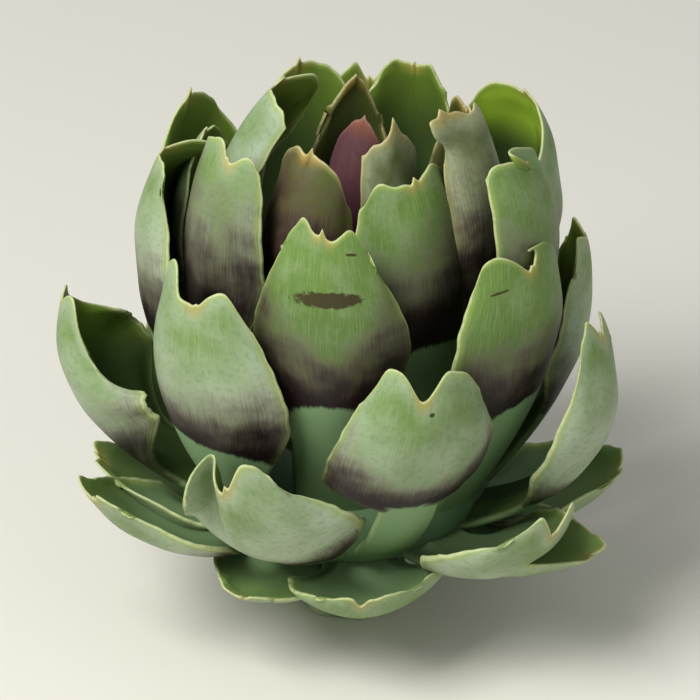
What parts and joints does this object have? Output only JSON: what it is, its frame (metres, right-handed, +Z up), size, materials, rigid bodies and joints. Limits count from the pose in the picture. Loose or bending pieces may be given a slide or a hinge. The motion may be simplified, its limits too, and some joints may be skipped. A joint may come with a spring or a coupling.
{
  "type": "artichoke",
  "caption": "Fresh globe artichoke head on a short cut stem, with notched green bracts round a purple heart.",
  "frame": {"origin": "centre of the stem's flat cut face", "axes": "+Z up along the stem, -Y the front, +X to the viewer's right"},
  "size_m": [0.1235, 0.1186, 0.1334],
  "materials": {
    "stem_green": "matt, ribbed, pale green, with a pale cut end",
    "bract_green": "satin, waxy bloom over green, dark purple towards the base, thin light rims",
    "heart_purple": "satin, purple shading to grey-green"
  },
  "bodies": {
    "root": {"stem": "stem_green", "green_bracts": "bract_green", "heart_bracts": "heart_purple"}
  },
  "joints": []
}
